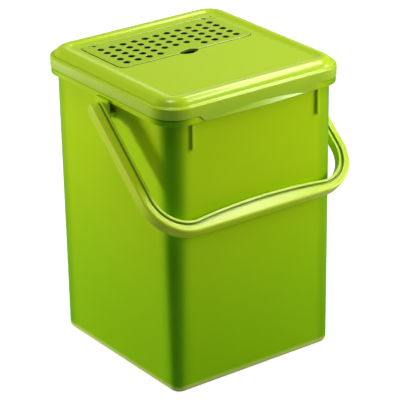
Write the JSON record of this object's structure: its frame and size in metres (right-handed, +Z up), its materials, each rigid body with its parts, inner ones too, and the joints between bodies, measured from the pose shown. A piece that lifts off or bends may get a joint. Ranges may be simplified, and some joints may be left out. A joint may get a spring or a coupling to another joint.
{
  "type": "kitchen compost caddy",
  "caption": "Tall square lidded kitchen caddy with a swinging carrying handle, a rear-hinged lid and a vented flap over a carbon filter.",
  "frame": {"origin": "on the floor under the middle of the bucket", "axes": "+Z up, front with the finger lip towards -Y, +X to the right seen from the front"},
  "size_m": [0.232, 0.2266, 0.293],
  "materials": {
    "bucket_plastic": "lime green polypropylene, soft satin shine",
    "lid_plastic": "lime green polypropylene, soft satin shine",
    "flap_plastic": "lime green polypropylene, soft satin shine",
    "handle_plastic": "lime green polypropylene, soft satin shine",
    "carbon_felt": "black carbon-loaded felt"
  },
  "bodies": {
    "bucket": {"bucket": "bucket_plastic"},
    "lid": {"lid": "lid_plastic", "carbon_filter": "carbon_felt"},
    "flap": {"filter_flap": "flap_plastic"},
    "handle": {"handle": "handle_plastic"}
  },
  "joints": [
    {"name": "lid_hinge", "type": "hinge", "parent": "bucket", "child": "lid", "pos_m": [0, 0.10895, 0.2733], "axis": [-1, 0, 0], "range_deg": [0, 110]},
    {"name": "flap_hinge", "type": "hinge", "parent": "lid", "child": "flap", "pos_m": [0, 0.0717, 0.2891], "axis": [-1, 0, 0], "range_deg": [0, 95]},
    {"name": "handle_swing", "type": "hinge", "parent": "bucket", "child": "handle", "pos_m": [0, -0.003, 0.2613], "axis": [-1, 0, 0], "range_deg": [0, 256]}
  ]
}
